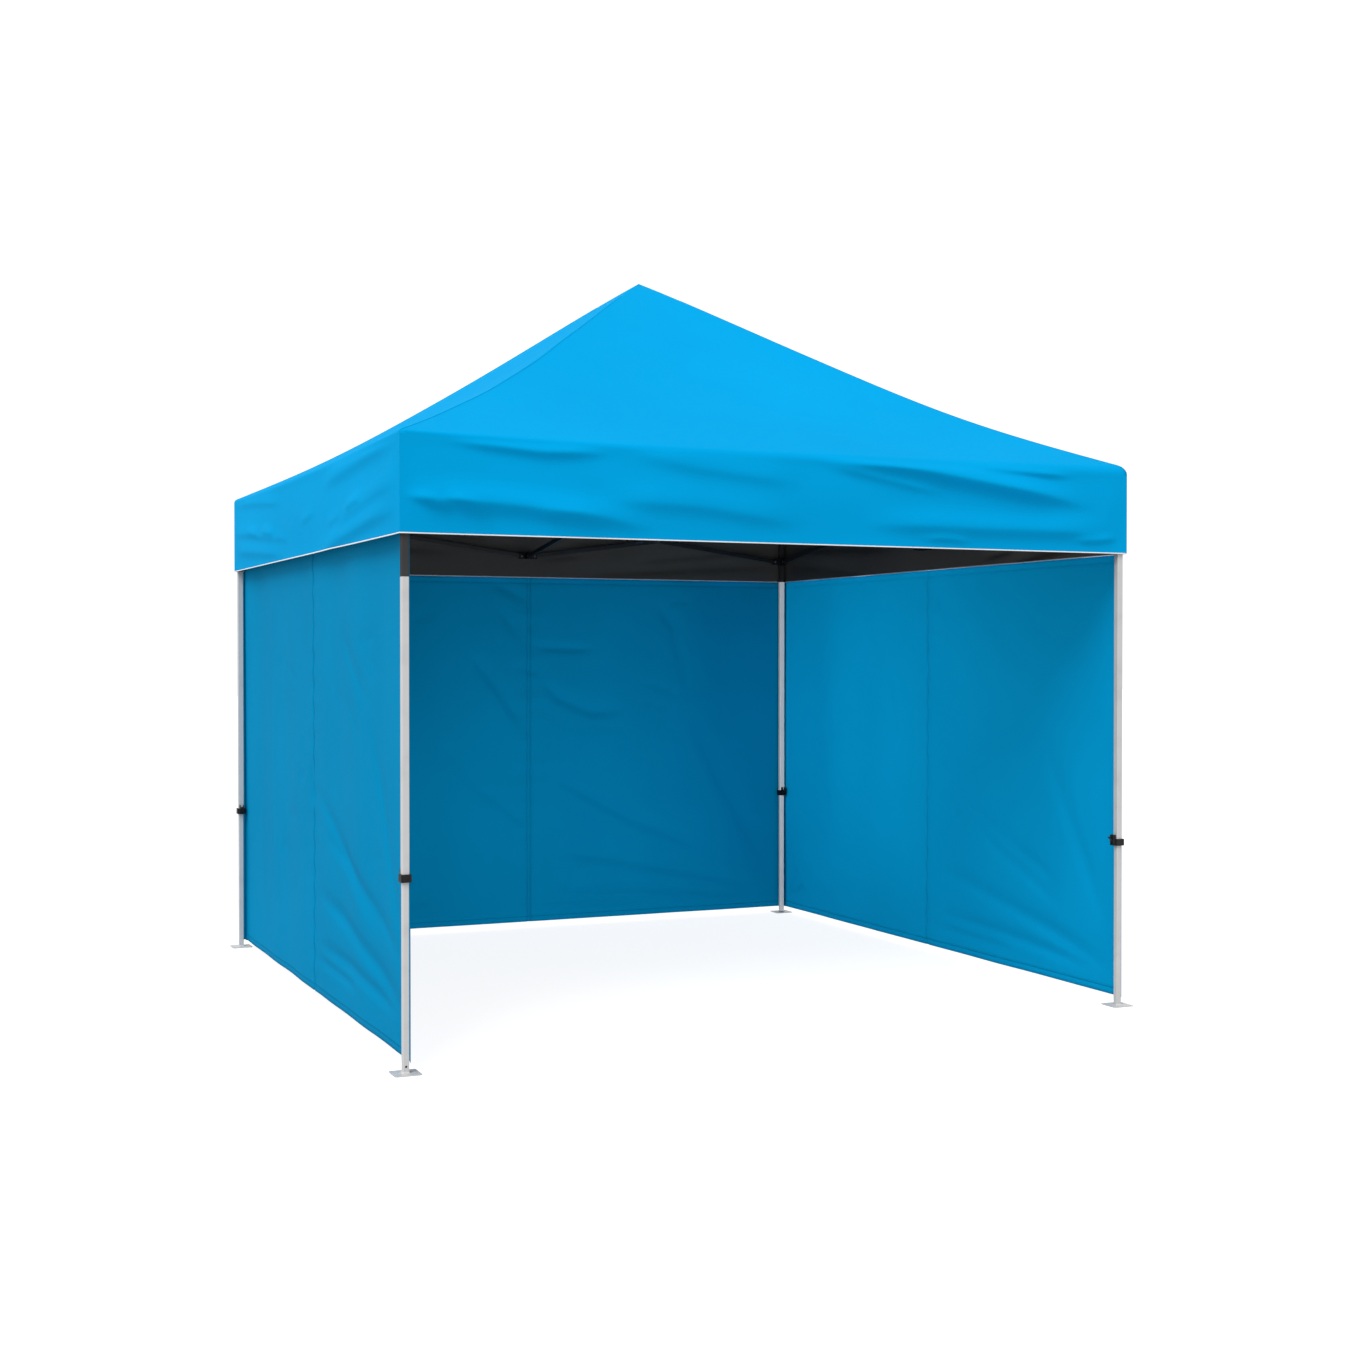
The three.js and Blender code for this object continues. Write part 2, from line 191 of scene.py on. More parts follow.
def fabric(name, dark, light, rough=0.75, sheen=0.03):
    """Woven coated polyester."""
    material, nodes, links, shader = new_material(name)
    coords = nodes.new("ShaderNodeTexCoord").outputs["Object"]
    broad = noise(nodes, links, coords, scale=1.3, detail=3)
    ramp = colour_ramp(nodes, dark, light)
    links.new(broad, ramp.inputs["Fac"])
    links.new(ramp.outputs["Color"], shader.inputs["Base Color"])
    fine = noise(nodes, links, coords, scale=60, detail=6)
    roughness = scale_and_add(nodes, links, fine, gain=0.2, base=rough - 0.1)
    links.new(roughness, shader.inputs["Roughness"])
    threads = weave(nodes, links, coords, pitch=0.0022)
    ripple = math_node(nodes, links, "MULTIPLY", noise(nodes, links, coords, scale=9, detail=5), 6)
    height = math_node(nodes, links, "ADD", threads, ripple)
    add_bump(nodes, links, shader, height, strength=0.12, distance=0.0006)
    shader.inputs["Sheen Weight"].default_value = sheen
    shader.inputs["Sheen Roughness"].default_value = 0.4
    shader.inputs["Sheen Tint"].default_value = (*light, 1)
    shader.inputs["Specular IOR Level"].default_value = 0.015
    return material


def painted_steel(name, colour, worn, metallic):
    """Powder coat or bare metal with a fine grain, slightly dulled in patches."""
    material, nodes, links, shader = new_material(name)
    coords = nodes.new("ShaderNodeTexCoord").outputs["Object"]
    ramp = colour_ramp(nodes, worn, colour, low_at=0.25, high_at=0.5)
    links.new(noise(nodes, links, coords, scale=14, detail=8), ramp.inputs["Fac"])
    links.new(ramp.outputs["Color"], shader.inputs["Base Color"])
    smears = noise(nodes, links, coords, scale=30, detail=4)
    links.new(scale_and_add(nodes, links, smears, gain=0.2, base=0.28), shader.inputs["Roughness"])
    grain = noise(nodes, links, coords, scale=900, detail=2)
    add_bump(nodes, links, shader, grain, strength=0.15, distance=0.0002)
    shader.inputs["Metallic"].default_value = metallic
    return material


def moulded_plastic(name, colour, light):
    """Matt nylon with the fine texture of its mould."""
    material, nodes, links, shader = new_material(name)
    coords = nodes.new("ShaderNodeTexCoord").outputs["Object"]
    ramp = colour_ramp(nodes, colour, light, low_at=0.35, high_at=0.8)
    links.new(noise(nodes, links, coords, scale=25, detail=6), ramp.inputs["Fac"])
    links.new(ramp.outputs["Color"], shader.inputs["Base Color"])
    smears = noise(nodes, links, coords, scale=80, detail=3)
    links.new(scale_and_add(nodes, links, smears, gain=0.25, base=0.38), shader.inputs["Roughness"])
    grain = noise(nodes, links, coords, scale=1200, detail=2)
    add_bump(nodes, links, shader, grain, strength=0.25, distance=0.0003)
    shader.inputs["Specular IOR Level"].default_value = 0.2
    return material


BLUE_ROOF = fabric("roof_blue", (0.0, 0.302, 0.625), (0.0, 0.322, 0.665))
# The walls are the roof's blue cloth; this darker copy of its blue paints the shade they hang in under
# the valance.
SHADED_WALL_BLUE = fabric("wall_blue_shaded", (0.0, 0.213, 0.425), (0.0, 0.230, 0.455))
LINING = fabric("black_lining", (0.098, 0.090, 0.082), (0.125, 0.115, 0.104), rough=0.6, sheen=0.1)
# White for the tape along the valance's lower edge, which paints the highlight along the hem.
HEM_HIGHLIGHT_TAPE = fabric("white_binding_highlight", (0.75, 0.76, 0.77), (0.85, 0.85, 0.85), rough=0.8)
# Near black for the sleeves at the tops of the legs, which paint the shade under the roof.
SHADE_SLEEVE_DARK = fabric("dark_sleeve_painted_shade", (0.045, 0.045, 0.047), (0.070, 0.070, 0.073), rough=0.8)
BLUE_THREAD = fabric("blue_thread", (0.0, 0.08, 0.17), (0.0, 0.10, 0.21), rough=0.9)
SILVER = painted_steel("silver_powder_coat", (0.56,) * 3, (0.51,) * 3, metallic=0.1)
# The truss bars are light grey steel; this near black paints the shade they lie in under the roof.
BAR_SHADE_DARK = painted_steel(
    "dark_bar_coat_painted_shade",
    (0.026, 0.027, 0.029),
    (0.018, 0.019, 0.020),
    metallic=0.1,
)
ZINC = painted_steel("zinc_rivets", (0.13,) * 3, (0.09,) * 3, metallic=0.6)
BLACK = moulded_plastic("black_nylon", (0.010, 0.010, 0.011), (0.022, 0.022, 0.023))
SLOT_MATERIALS = {
    "silver_paint": SILVER,
    # The charcoal_paint slot gets the near black that paints shade on the truss bars.
    "charcoal_paint": BAR_SHADE_DARK,
    "black_nylon": BLACK,
    "canopy_fabric": BLUE_ROOF,
    "wall_fabric": SHADED_WALL_BLUE,
}


# ---------------------------------------------------------------- mesh helpers

def add_mesh(name, points, faces, materials, smooth=True):
    mesh = bpy.data.meshes.new(name)
    mesh.from_pydata([tuple(p) for p in points], [], faces)
    mesh.update()
    mesh.polygons.foreach_set("use_smooth", [smooth] * len(mesh.polygons))
    for material in materials:
        mesh.materials.append(material)
    piece = bpy.data.objects.new(name, mesh)
    bpy.context.scene.collection.objects.link(piece)
    return piece


def grid_faces(rows, columns, closed=False):
    """Quads of a grid whose points are listed row by row."""
    faces = []
    for row in range(rows - 1):
        for column in range(columns if closed else columns - 1):
            right = (column + 1) % columns
            a, b = row * columns + column, row * columns + right
            faces.append((a, a + columns, b + columns, b))
    return faces


def thicken(piece, thickness=CLOTH, lined=False):
    solid = piece.modifiers.new("cloth_thickness", "SOLIDIFY")
    solid.thickness = thickness
    solid.offset = -1
    # Even offsets would throw points far out where the folded frame creases the cloth sharply.
    solid.use_even_offset = False
    if lined:
        solid.material_offset = 1


def turn(points, quarters):
    """Turns points about Z by quarter turns."""
    angle = quarters * math.pi / 2
    c, s = round(math.cos(angle)), round(math.sin(angle))
    points = np.asarray(points, float)
    x, y = points[..., 0], points[..., 1]
    return np.stack([c * x - s * y, s * x + c * y, points[..., 2]], axis=-1)


def smooth_step(x):
    x = np.clip(x, 0, 1)
    return x * x * (3 - 2 * x)


# ---------------------------------------------------------------- fabric that follows the frame

def corner_shares(x, y):
    """How much each leg carries a point: 1 at the leg itself, shared between the four inside."""
    u, v = np.clip(x / HALF, -1, 1), np.clip(y / HALF, -1, 1)
    signs = ((-1, -1), (1, -1), (1, 1), (-1, 1))
    return [np.clip((1 + sx * u) * (1 + sy * v) / 4, 0, 1) for sx, sy in signs]


def vertices_of(piece):
    points = np.empty(len(piece.data.vertices) * 3)
    piece.data.vertices.foreach_get("co", points)
    return points.reshape(-1, 3)


def hook(piece, body, weights):
    """Points of the piece move with a body by their weights. The body only ever shifts, never turns."""
    digits = 4
    if weights.max() < 10 ** -digits:
        return
    group = piece.vertex_groups.new(name=body)
    levels = np.round(weights, digits)
    for level in np.unique(levels):
        if level > 0:
            picked = np.nonzero(levels == level)[0]
            group.add([int(i) for i in picked], float(level), "REPLACE")
    modifier = piece.modifiers.new(f"hook_{body}", "HOOK")
    modifier.object = BODIES[body]
    modifier.vertex_group = body
    modifier.matrix_inverse = BODIES[body].matrix_world.inverted()
    modifier.strength = 1


def follow_frame(piece, lift=None, gather=None, pleats=0, plane=None):
    """The piece rides on the hub and is drawn in by the legs as the frame folds.

    lift: share of each point that rises with the inner legs. gather: extra weights by body.
    pleats: how much less than the legs' shares each point is drawn in. plane: the x of the truss
    that all of the piece stays beside."""
    points = vertices_of(piece)
    x = points[:, 0] if plane is None else np.full(len(points), plane)
    for corner, share in zip(CORNERS, corner_shares(x, points[:, 1])):
        share = share * (1 - pleats)
        if lift is None:
            hook(piece, f"leg_{corner}", share)
        else:
            hook(piece, f"leg_{corner}", share * (1 - lift))
            hook(piece, f"inner_leg_{corner}", share * lift)
    for body, weights in (gather or {}).items():
        hook(piece, body, np.clip(weights, 0, 1))
    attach(piece, "root")


# ---------------------------------------------------------------- cover

# Folds of a valance: a crest as (along the side, below the eave) points, its height and its width.
# The front's folds run from the left corner to the right one.
FRONT_FOLDS = (
    (((0.00, 0.205), (0.30, 0.233), (0.65, 0.255), (0.96, 0.311)), 0.012, 0.026),
    (((0.02, 0.215), (0.10, 0.232), (0.19, 0.262)), 0.008, 0.012),
    (((0.16, 0.222), (0.25, 0.240), (0.31, 0.275)), 0.006, 0.012),
    (((0.45, 0.268), (0.62, 0.268), (0.74, 0.295)), 0.005, 0.014),
    (((0.13, 0.010), (0.27, 0.030), (0.50, 0.052), (0.78, 0.040)), 0.008, 0.018),
    (((0.80, 0.030), (1.10, 0.075), (1.55, 0.120)), 0.005, 0.030),
    (((0.70, 0.200), (1.10, 0.215), (1.55, 0.270)), 0.006, 0.030),
    (((1.52, 0.006), (1.75, 0.026), (2.04, 0.055), (2.48, 0.112), (2.84, 0.165)), 0.018, 0.024),
    (((1.60, 0.040), (1.85, 0.085), (2.15, 0.140)), 0.006, 0.018),
    (((2.22, 0.016), (2.45, 0.032), (2.74, 0.045)), 0.007, 0.013),
    (((1.75, 0.255), (2.30, 0.262), (2.98, 0.262)), 0.009, 0.028),
    (((2.02, 0.310), (2.14, 0.305), (2.26, 0.318)), 0.004, 0.010),
    (((2.72, 0.300), (2.84, 0.296), (2.95, 0.282)), 0.004, 0.010),
)
FOLD_SCALE = {"front": 2.3, "right": 1.6, "back": 1.6, "left": 1.2}
SIDE_LENGTH = 2 * OUTSIDE

# Long drapes of the other sides run down from a corner, and short creases lie between them.
DRAPE_ALONG = np.array([0.0, 0.35, 0.75, 1.15])
DRAPE_BELOW = np.array([0, 0.02, 0.05, 0.08])
DRAPE_STARTS = (0.02, 0.16, 0.25)
CREASE_ALONG = np.array([0, 0.12, 0.26])
CREASE_BELOW = np.array([0, 0.012, 0.03])
CREASE_COUNT = 3
CREASE_WIDTH = 0.014


def random_folds(seed):
    """Folds like the front's for a side that is seen less: long drapes from each corner."""
    rng = np.random.default_rng(seed)
    folds = []
    for flip in (False, True):
        for level in DRAPE_STARTS:
            along = DRAPE_ALONG * rng.uniform(0.8, 1.15)
            below = level + DRAPE_BELOW * rng.uniform(0.5, 1.3)
            if flip:
                along = SIDE_LENGTH - along
            crest = tuple(zip(along, below))
            folds.append((crest, rng.uniform(0.005, 0.011), rng.uniform(0.018, 0.03)))
        for _ in range(CREASE_COUNT):
            along = rng.uniform(0.3, 1.4) + CREASE_ALONG
            below = rng.uniform(0.08, 0.29) + CREASE_BELOW
            if flip:
                along = SIDE_LENGTH - along
            folds.append((tuple(zip(along, below)), rng.uniform(0.003, 0.006), CREASE_WIDTH))
    return tuple(folds)


FOLDS = {
    "front": FRONT_FOLDS,
    "right": random_folds(5),
    "back": random_folds(11),
    "left": random_folds(23),
}


# A fold fades in and out over this share of its crest, and is wider above its crest than below.
FOLD_FADE = 0.3
FADE_LEAD = 0.02
UPHILL_WIDTH = 1.9


def fold_height(along, below, folds):
    """How far the folds push the cloth out. A fold is gentle above its crest and steep below it."""
    shape = np.broadcast(along, below).shape
    height = np.zeros(shape)
    for crest, rise, width in folds:
        crest = np.array(crest)
        steps = np.diff(crest, axis=0)
        lengths = np.hypot(steps[:, 0], steps[:, 1])
        total = lengths.sum()
        nearest = np.full(shape, np.inf)
        place = np.zeros(shape)
        above = np.zeros(shape, bool)
        travelled = 0
        for start, step, length in zip(crest, steps, lengths):
            dx, dy = along - start[0], below - start[1]
            t = np.clip((dx * step[0] + dy * step[1]) / length ** 2, 0, 1)
            distance = np.hypot(dx - t * step[0], dy - t * step[1])
            closer = distance < nearest
            nearest = np.where(closer, distance, nearest)
            place = np.where(closer, (travelled + t * length) / total, place)
            above = np.where(closer, (step[0] * dy - step[1] * dx) * np.sign(step[0]) < 0, above)
            travelled += length
        fade = smooth_step((place + FADE_LEAD) / FOLD_FADE) * smooth_step((1 - place) / FOLD_FADE)
        span = np.where(above, UPHILL_WIDTH * width, width)
        height += rise * fade * np.exp(-((nearest / span) ** 2))
    return height


def hip_height(share):
    straight = PEAK - (PEAK - EAVE) * share
    return straight - HIP_SAG * np.sin(np.pi * share ** SAG_SKEW)


def roof_height(share, u):
    """Height of the roof. share runs from tip to eave, u from -1 to 1 between two hips."""
    hollow = PANEL_SAG * np.sin(np.pi * share) * (1 - u ** 2)
    eave = EAVE_SAG * share ** 5 * (1 - np.abs(u) ** 2.5)
    return hip_height(share) - hollow - eave


# Radius of the eave at the left and right end of each side, and what its middle has on top of that.
END_RADIUS = {
    "front": (0.006, 0.030),
    "right": (0.030, 0.014),
    "back": (0.012, 0.008),
    "left": (0.012, 0.008),
}
MIDDLE_RADIUS = 0.006


def edge_radius(u, side):
    """Radius of the rounded eave, blended from one end of a side to the other."""
    left, right = END_RADIUS[side]
    across = (u + 1) / 2
    corner = left * (1 - across) + right * across
    return corner + MIDDLE_RADIUS * (1 - np.abs(u) ** 3)


# Columns are closer together near the corner seams, and rows near the tip are further apart.
CORNER_CROWDING = 0.25
ROW_SPREAD = 0.9
# The valance stands off and swells a little, and lies flat near its corners and at the eave.
STAND_OFF = 0.002
VALANCE_SWELL = 0.004
CORNER_CALM = 0.10
EAVE_CALM = 0.05
# The rim of the roof takes part in the folds by this share.
RIM_START = 0.8
RIM_FOLD_SHARE = 0.25


def cover_side(side):
    """Points of one side of the cover as seen from outside, in rows from the tip to the lower edge."""
    u = -1 + 2 * np.arange(COLUMNS) / COLUMNS
    u = (1 - CORNER_CROWDING) * u + CORNER_CROWDING * np.sin(u * math.pi / 2)
    radius = edge_radius(u, side)
    share_at_edge = 1 - radius / OUTSIDE
    rows = []
    for row in range(1, ROOF_ROWS + 1):
        share = share_at_edge * (row / ROOF_ROWS) ** ROW_SPREAD
        z = roof_height(share, u)
        along = u * OUTSIDE * share
        rows.append((along, OUTSIDE * share, z))
    z_start = roof_height(share_at_edge, u)
    z_corner = roof_height(np.ones_like(u), u)
    z_end = z_corner - radius
    for row in range(1, EDGE_ROWS + 1):
        t = row / EDGE_ROWS
        out = (1 - t) ** 2 * (OUTSIDE - radius) + (1 - (1 - t) ** 2) * OUTSIDE
        z = (1 - t) ** 2 * z_start + 2 * t * (1 - t) * z_corner + t * t * z_end
        rows.append((u * out, out, z))
    along = (u + 1) * OUTSIDE
    for row in range(1, VALANCE_ROWS + 1):
        t = row / VALANCE_ROWS
        z = z_end + (VALANCE_BOTTOM - z_end) * t
        rows.append((u * OUTSIDE, np.full_like(u, OUTSIDE), z))
    points = np.array([np.stack([x, -np.broadcast_to(y, x.shape), z], -1) for x, y, z in rows])
    below = EAVE - points[..., 2]
    hang = smooth_step((below - 0.004) / EAVE_CALM)
    off_corner = smooth_step((1 - np.abs(u)) * OUTSIDE / CORNER_CALM)
    swell = VALANCE_SWELL * np.sin(2 * np.pi * np.clip(below / VALANCE_DROP - 0.15, 0, 1) - 0.6)
    push = FOLD_SCALE[side] * fold_height(along, below, FOLDS[side]) + swell + STAND_OFF
    on_rim = smooth_step((-points[..., 1] - RIM_START * OUTSIDE) / ((1 - RIM_START) * OUTSIDE))
    push = push * np.maximum(hang, RIM_FOLD_SHARE * on_rim) * off_corner
    points[..., 1] -= push
    return points


def roof_wrinkles(points, depth=0.0012):
    """Faint broad unevenness of the stretched roof."""
    x, y, z = points[..., 0], points[..., 1], points[..., 2]
    ring = np.maximum(np.abs(x), np.abs(y)) / OUTSIDE
    fade = np.sin(np.pi * np.clip(ring, 0, 1)) * (z > EAVE + 0.02)
    wave = np.sin(7.1 * x + 2.3 * y) + np.sin(5.3 * y - 3.1 * x + 1.0) + np.sin(9.7 * (x + y))
    return depth * wave * fade


def make_cover():
    sides = [turn(cover_side(side), quarter) for quarter, side in enumerate(SIDES)]
    rings = np.concatenate(sides, axis=1)
    rings[..., 2] += roof_wrinkles(rings)
    rows, columns = rings.shape[:2]
    points = np.concatenate([rings.reshape(-1, 3), [[0, 0, PEAK]]])
    faces = grid_faces(rows, columns, closed=True)
    tip = rows * columns
    faces += [(tip, i, (i + 1) % columns) for i in range(columns)]
    cover = add_mesh("canopy_roof_and_valance", points, faces, [BLUE_ROOF, LINING])
    first_row = ROOF_ROWS + EDGE_ROWS - 1
    for edge in cover.data.edges:
        low, high = sorted(edge.vertices)
        at_corner = low // columns >= first_row and low % columns % COLUMNS == 0
        edge.use_edge_sharp = at_corner and high - low == columns
    return cover, rings


def roof_gather(points):
    """The tip and the middle of the roof sink with the centre pole, in loose pleats."""
    x, y, z = points[:, 0], points[:, 1], points[:, 2]
    ring = np.clip(np.maximum(np.abs(x), np.abs(y)) / OUTSIDE, 0, 1)
    sink = smooth_step(1 - ring / SINK_REACH) * TIP_SINK
    between = np.sin(np.pi * np.clip(ring / SINK_REACH, 0, 1))
    pleat = ROOF_PLEAT * (1 + np.sin(ROOF_PLEAT_COUNT * np.arctan2(y, x))) / 2 * between
    on_roof = z > EAVE - VALANCE_DROP / 2
    return {"lower_hub": np.where(on_roof, sink + pleat, 0)}


def cover_pleats(points):
    """Pleats of the valance and the roof's rim, which bulge outwards as the frame folds."""
    x, y, z = points[:, 0], points[:, 1], points[:, 2]
    ring = np.maximum(np.abs(x), np.abs(y))
    along = np.minimum(np.abs(x), np.abs(y))
    ends = smooth_step((OUTSIDE - along) / PLEAT_ENDS)
    rim = smooth_step((ring / OUTSIDE - 0.75) / 0.25)
    return COVER_PLEAT * rim * ends * (1 - np.cos(2 * np.pi * along / PLEAT_PITCH)) / 2


def hip_seams(rings):
    """A narrow ribbon along each hip, from near the tip to the eave."""
    points, faces = [], []
    roof = rings[2:ROOF_ROWS + 2]
    columns = rings.shape[1]
    for quarter in range(4):
        middle = roof[:, quarter * COLUMNS]
        first = len(points)
        for offset in (-1, 0, 1):
            beside = roof[:, (quarter * COLUMNS + offset) % columns]
            step = beside - middle
            reach = np.linalg.norm(step, axis=1, keepdims=True)
            shift = step / np.maximum(reach, 1e-6) * np.minimum(reach, SEAM_RIBBON / 2)
            points += list(middle + shift + np.array([0, 0, SEAM_LIFT]))
        rows = len(middle)
        for strip in (0, 1):
            for row in range(rows - 1):
                a = first + strip * rows + row
                faces.append((a, a + 1, a + rows + 1, a + rows))
    return add_mesh("hip_seams", points, faces, [BLUE_ROOF])


cover, cover_rings = make_cover()
cover_places = vertices_of(cover)
follow_frame(cover, gather=roof_gather(cover_places), pleats=cover_pleats(cover_places))
thicken(cover, lined=True)
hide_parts("canopy_cover")

seams = hip_seams(cover_rings)
seam_places = vertices_of(seams)
follow_frame(seams, gather=roof_gather(seam_places), pleats=cover_pleats(seam_places))
thicken(seams, SEAM_THICKNESS)
seams.modifiers["cloth_thickness"].offset = 0


def edge_tape(name, path, height, thickness, material):
    """A folded tape around a cloth edge: a flat section swept along a closed path."""
    section = np.array([[-1, 0], [-0.6, -1], [0.6, -1], [1, 0], [1, 1], [-1, 1]])
    outward = np.stack([path[:, 0], path[:, 1], np.zeros(len(path))], -1)
    step = np.where(np.abs(path[:, :1]) > np.abs(path[:, 1:2]), [[1, 0, 0]], [[0, 1, 0]])
    outward = np.sign(outward) * step
    points = []
    for at, out in zip(path, outward):
        for across, up in section:
            lift = up * height if up > 0 else up * thickness
            points.append(at + out * across * thickness + Vector((0, 0, 1)) * lift)
    rows, columns = len(path), len(section)
    faces = []
    for row in range(rows):
        here, after = row * columns, (row + 1) % rows * columns
        for column in range(columns):
            right = (column + 1) % columns
            faces.append((here + column, here + right, after + right, after + column))
    return add_mesh(name, points, faces, [material])


# A white tape along the valance's lower edge: its white paints the highlight that runs along the hem.
highlight_binding = edge_tape(
    "valance_highlight_binding",
    cover_rings[-1],
    BINDING_HEIGHT,
    BINDING_THICKNESS,
    HEM_HIGHLIGHT_TAPE,
)
follow_frame(highlight_binding, pleats=cover_pleats(vertices_of(highlight_binding)))


# ---------------------------------------------------------------- side walls

WALL_COLUMNS = 190
WALL_ROWS = 130
WALL_BOTTOM = WALL_LOW.z

# Hems and the middle seam: their widths, how far they stand off, and where their stitches run.
SEAM_HALF = 0.011
HEM = 0.028
HEM_STEP = 0.0012
SEAM_STEP = 0.0034
EDGE_PAIR = 0.0012
SEAM_STITCH = 0.008
HEM_STITCH = 0.004
STITCH_PITCH = 0.0065
STITCH_LENGTH = 0.0042
STITCH_WIDTH = 0.0014
STITCH_RISE = 0.0005

# Broad drapes of a hanging wall, which calm down to a share of their height at its bottom.
DRAPE_COUNT = 5
DRAPE_HEIGHT = 0.0024
DRAPE_CALM = 0.5
LOWER_CALM = 0.3
SMALL_CREASES = 10
SEAM_PUCKER = 0.0026
PUCKER_PITCH = 0.11
PUCKER_REACH = 0.05
HELD_EDGE = 0.03
HELD_SHARE = 0.15
WALL_FOLD_SCALE = 1.7

# Creases of a wall as (along, below the top) points, height and width. `along` starts at the wall's
# loose end, and the drapes hang from the top towards the middle seam. The fan runs from the seam to
# the lower corner at the other end.
WALL_FAN = (
    (((1.50, 0.985), (1.67, 1.065), (2.08, 1.285), (2.60, 1.495)), 0.006, 0.026),
    (((1.50, 1.405), (1.92, 1.475), (2.45, 1.585), (2.95, 1.705)), 0.008, 0.024),
    (((1.50, 1.625), (2.08, 1.645), (2.86, 1.715)), 0.007, 0.018),
    (((1.50, 1.690), (1.85, 1.700), (2.23, 1.715)), 0.005, 0.013),
    (((2.38, 0.700), (2.60, 1.120), (2.86, 1.560)), 0.005, 0.030),
)
WALL_DRAPES = {
    "wall_back": (
        (((1.26, 0.015), (1.49, 0.135)), 0.005, 0.018),
        (((1.30, 0.145), (1.47, 0.365)), 0.005, 0.020),
        (((1.16, 0.385), (1.33, 0.600), (1.49, 0.835)), 0.009, 0.022),
        (((0.99, 0.835), (1.29, 1.185)), 0.006, 0.024),
        (((1.22, 1.085), (1.49, 1.315)), 0.006, 0.020),
        (((0.70, 1.665), (0.96, 1.655)), 0.005, 0.014),
        (((1.50, 0.365), (1.85, 0.375)), 0.006, 0.012),
        (((1.52, 0.505), (1.64, 0.625), (1.83, 0.705), (2.05, 0.695)), 0.006, 0.020),
        (((2.17, 0.085), (2.30, 0.255), (2.40, 0.685)), 0.005, 0.024),
    ),
    "wall_right": (
        (((0.02, 1.735), (0.25, 1.655)), 0.007, 0.012),
        (((0.02, 1.700), (0.16, 1.560)), 0.006, 0.012),
        (((1.65, 1.005), (2.15, 1.235), (2.60, 1.425)), 0.005, 0.026),
        (((1.50, 0.065), (1.65, 0.245)), 0.004, 0.016),
        (((1.10, 0.500), (1.22, 0.800)), 0.004, 0.022),
    ),
    "wall_left": (
        (((1.60, 1.150), (2.20, 1.310), (2.92, 1.550)), 0.006, 0.024),
        (((1.90, 0.350), (2.35, 0.650)), 0.004, 0.026),
        (((1.40, 0.900), (1.46, 1.100)), 0.004, 0.020),
    ),
}


def wall_relief(along, below, length, creases, seed):
    """How far a hanging wall stands off its plane: broad drapes, creases, its hems and middle seam."""
    rng = np.random.default_rng(seed)
    drop = below.max()
    relief = np.zeros_like(along)
    for _ in range(DRAPE_COUNT):
        pitch = rng.uniform(0.45, 1.1)
        lean = rng.uniform(-0.25, 0.25)
        phase = rng.uniform(0, 2 * math.pi)
        relief += DRAPE_HEIGHT * np.sin(2 * np.pi * (along + lean * below) / pitch + phase)
    relief *= LOWER_CALM + (1 - LOWER_CALM) * smooth_step((drop - below) / DRAPE_CALM)
    relief += WALL_FOLD_SCALE * fold_height(along, below, creases)
    small = []
    for _ in range(SMALL_CREASES):
        start = np.array([rng.uniform(0.15, 0.85) * length, rng.uniform(0.1, 1.5)])
        run = rng.uniform(0.10, 0.30) * np.array([1, rng.uniform(-0.3, 0.9)])
        bend = np.array([0, rng.uniform(-0.02, 0.02)])
        crest = (start - run / 2, start + bend, start + run / 2)
        small.append((crest, rng.uniform(0.002, 0.004), rng.uniform(0.010, 0.020)))
    relief += fold_height(along, below, small)
    middle = np.abs(along - length / 2)
    pucker = np.sin(2 * np.pi * below / PUCKER_PITCH) * np.exp(-middle / PUCKER_REACH)
    relief += SEAM_PUCKER * pucker
    held = smooth_step(along / HELD_EDGE) * smooth_step((length - along) / HELD_EDGE)
    relief = relief - relief.min()
    edge = np.minimum(np.minimum(along, length - along), np.minimum(below, drop - below))
    trims = SEAM_STEP * (middle < SEAM_HALF) + HEM_STEP * (edge < HEM)
    return relief * (HELD_SHARE + (1 - HELD_SHARE) * held) + trims


def grid_lines(length, count, extra):
    """Even steps from 0 to length, with a pair of lines at each edge of a hem or seam."""
    pairs = [place + side * EDGE_PAIR for place in extra for side in (-1, 1)]
    return np.sort(np.concatenate([np.linspace(0, length, count), pairs]))


def make_wall(name, start, end, low, high, outward, seed):
    """A wall from its loose end to the other in plan. Its relief is towards `outward`."""
    start, end, outward = np.array(start, float), np.array(end, float), np.array(outward, float)
    length = np.linalg.norm(end - start)
    direction = (end - start) / length
    drop = high - low
    seam = length / 2
    columns = grid_lines(length, WALL_COLUMNS, (HEM, seam - SEAM_HALF, seam + SEAM_HALF, length - HEM))
    rows = grid_lines(drop, WALL_ROWS, (HEM, drop - HEM))
    along, up = np.meshgrid(columns, rows)
    relief = wall_relief(along, drop - up, length, WALL_FAN + WALL_DRAPES[name], seed)
    plan = start + along[..., None] * direction + relief[..., None] * outward
    points = np.concatenate([plan, (low + up)[..., None]], axis=-1)
    wall = add_mesh(name, points.reshape(-1, 3), grid_faces(*along.shape), [SHADED_WALL_BLUE])
    thicken(wall)
    wall.modifiers["cloth_thickness"].offset = 0
    beside_seam = (seam - SEAM_STITCH, seam + SEAM_STITCH)
    stitched = [points[:, np.argmin(np.abs(columns - at))] for at in beside_seam]
    stitched.append(points[np.argmin(np.abs(rows - HEM + HEM_STITCH))])
    stitches = stitch_rows(f"{name}_stitches", stitched, np.append(outward, 0))
    return wall, stitches, length, drop


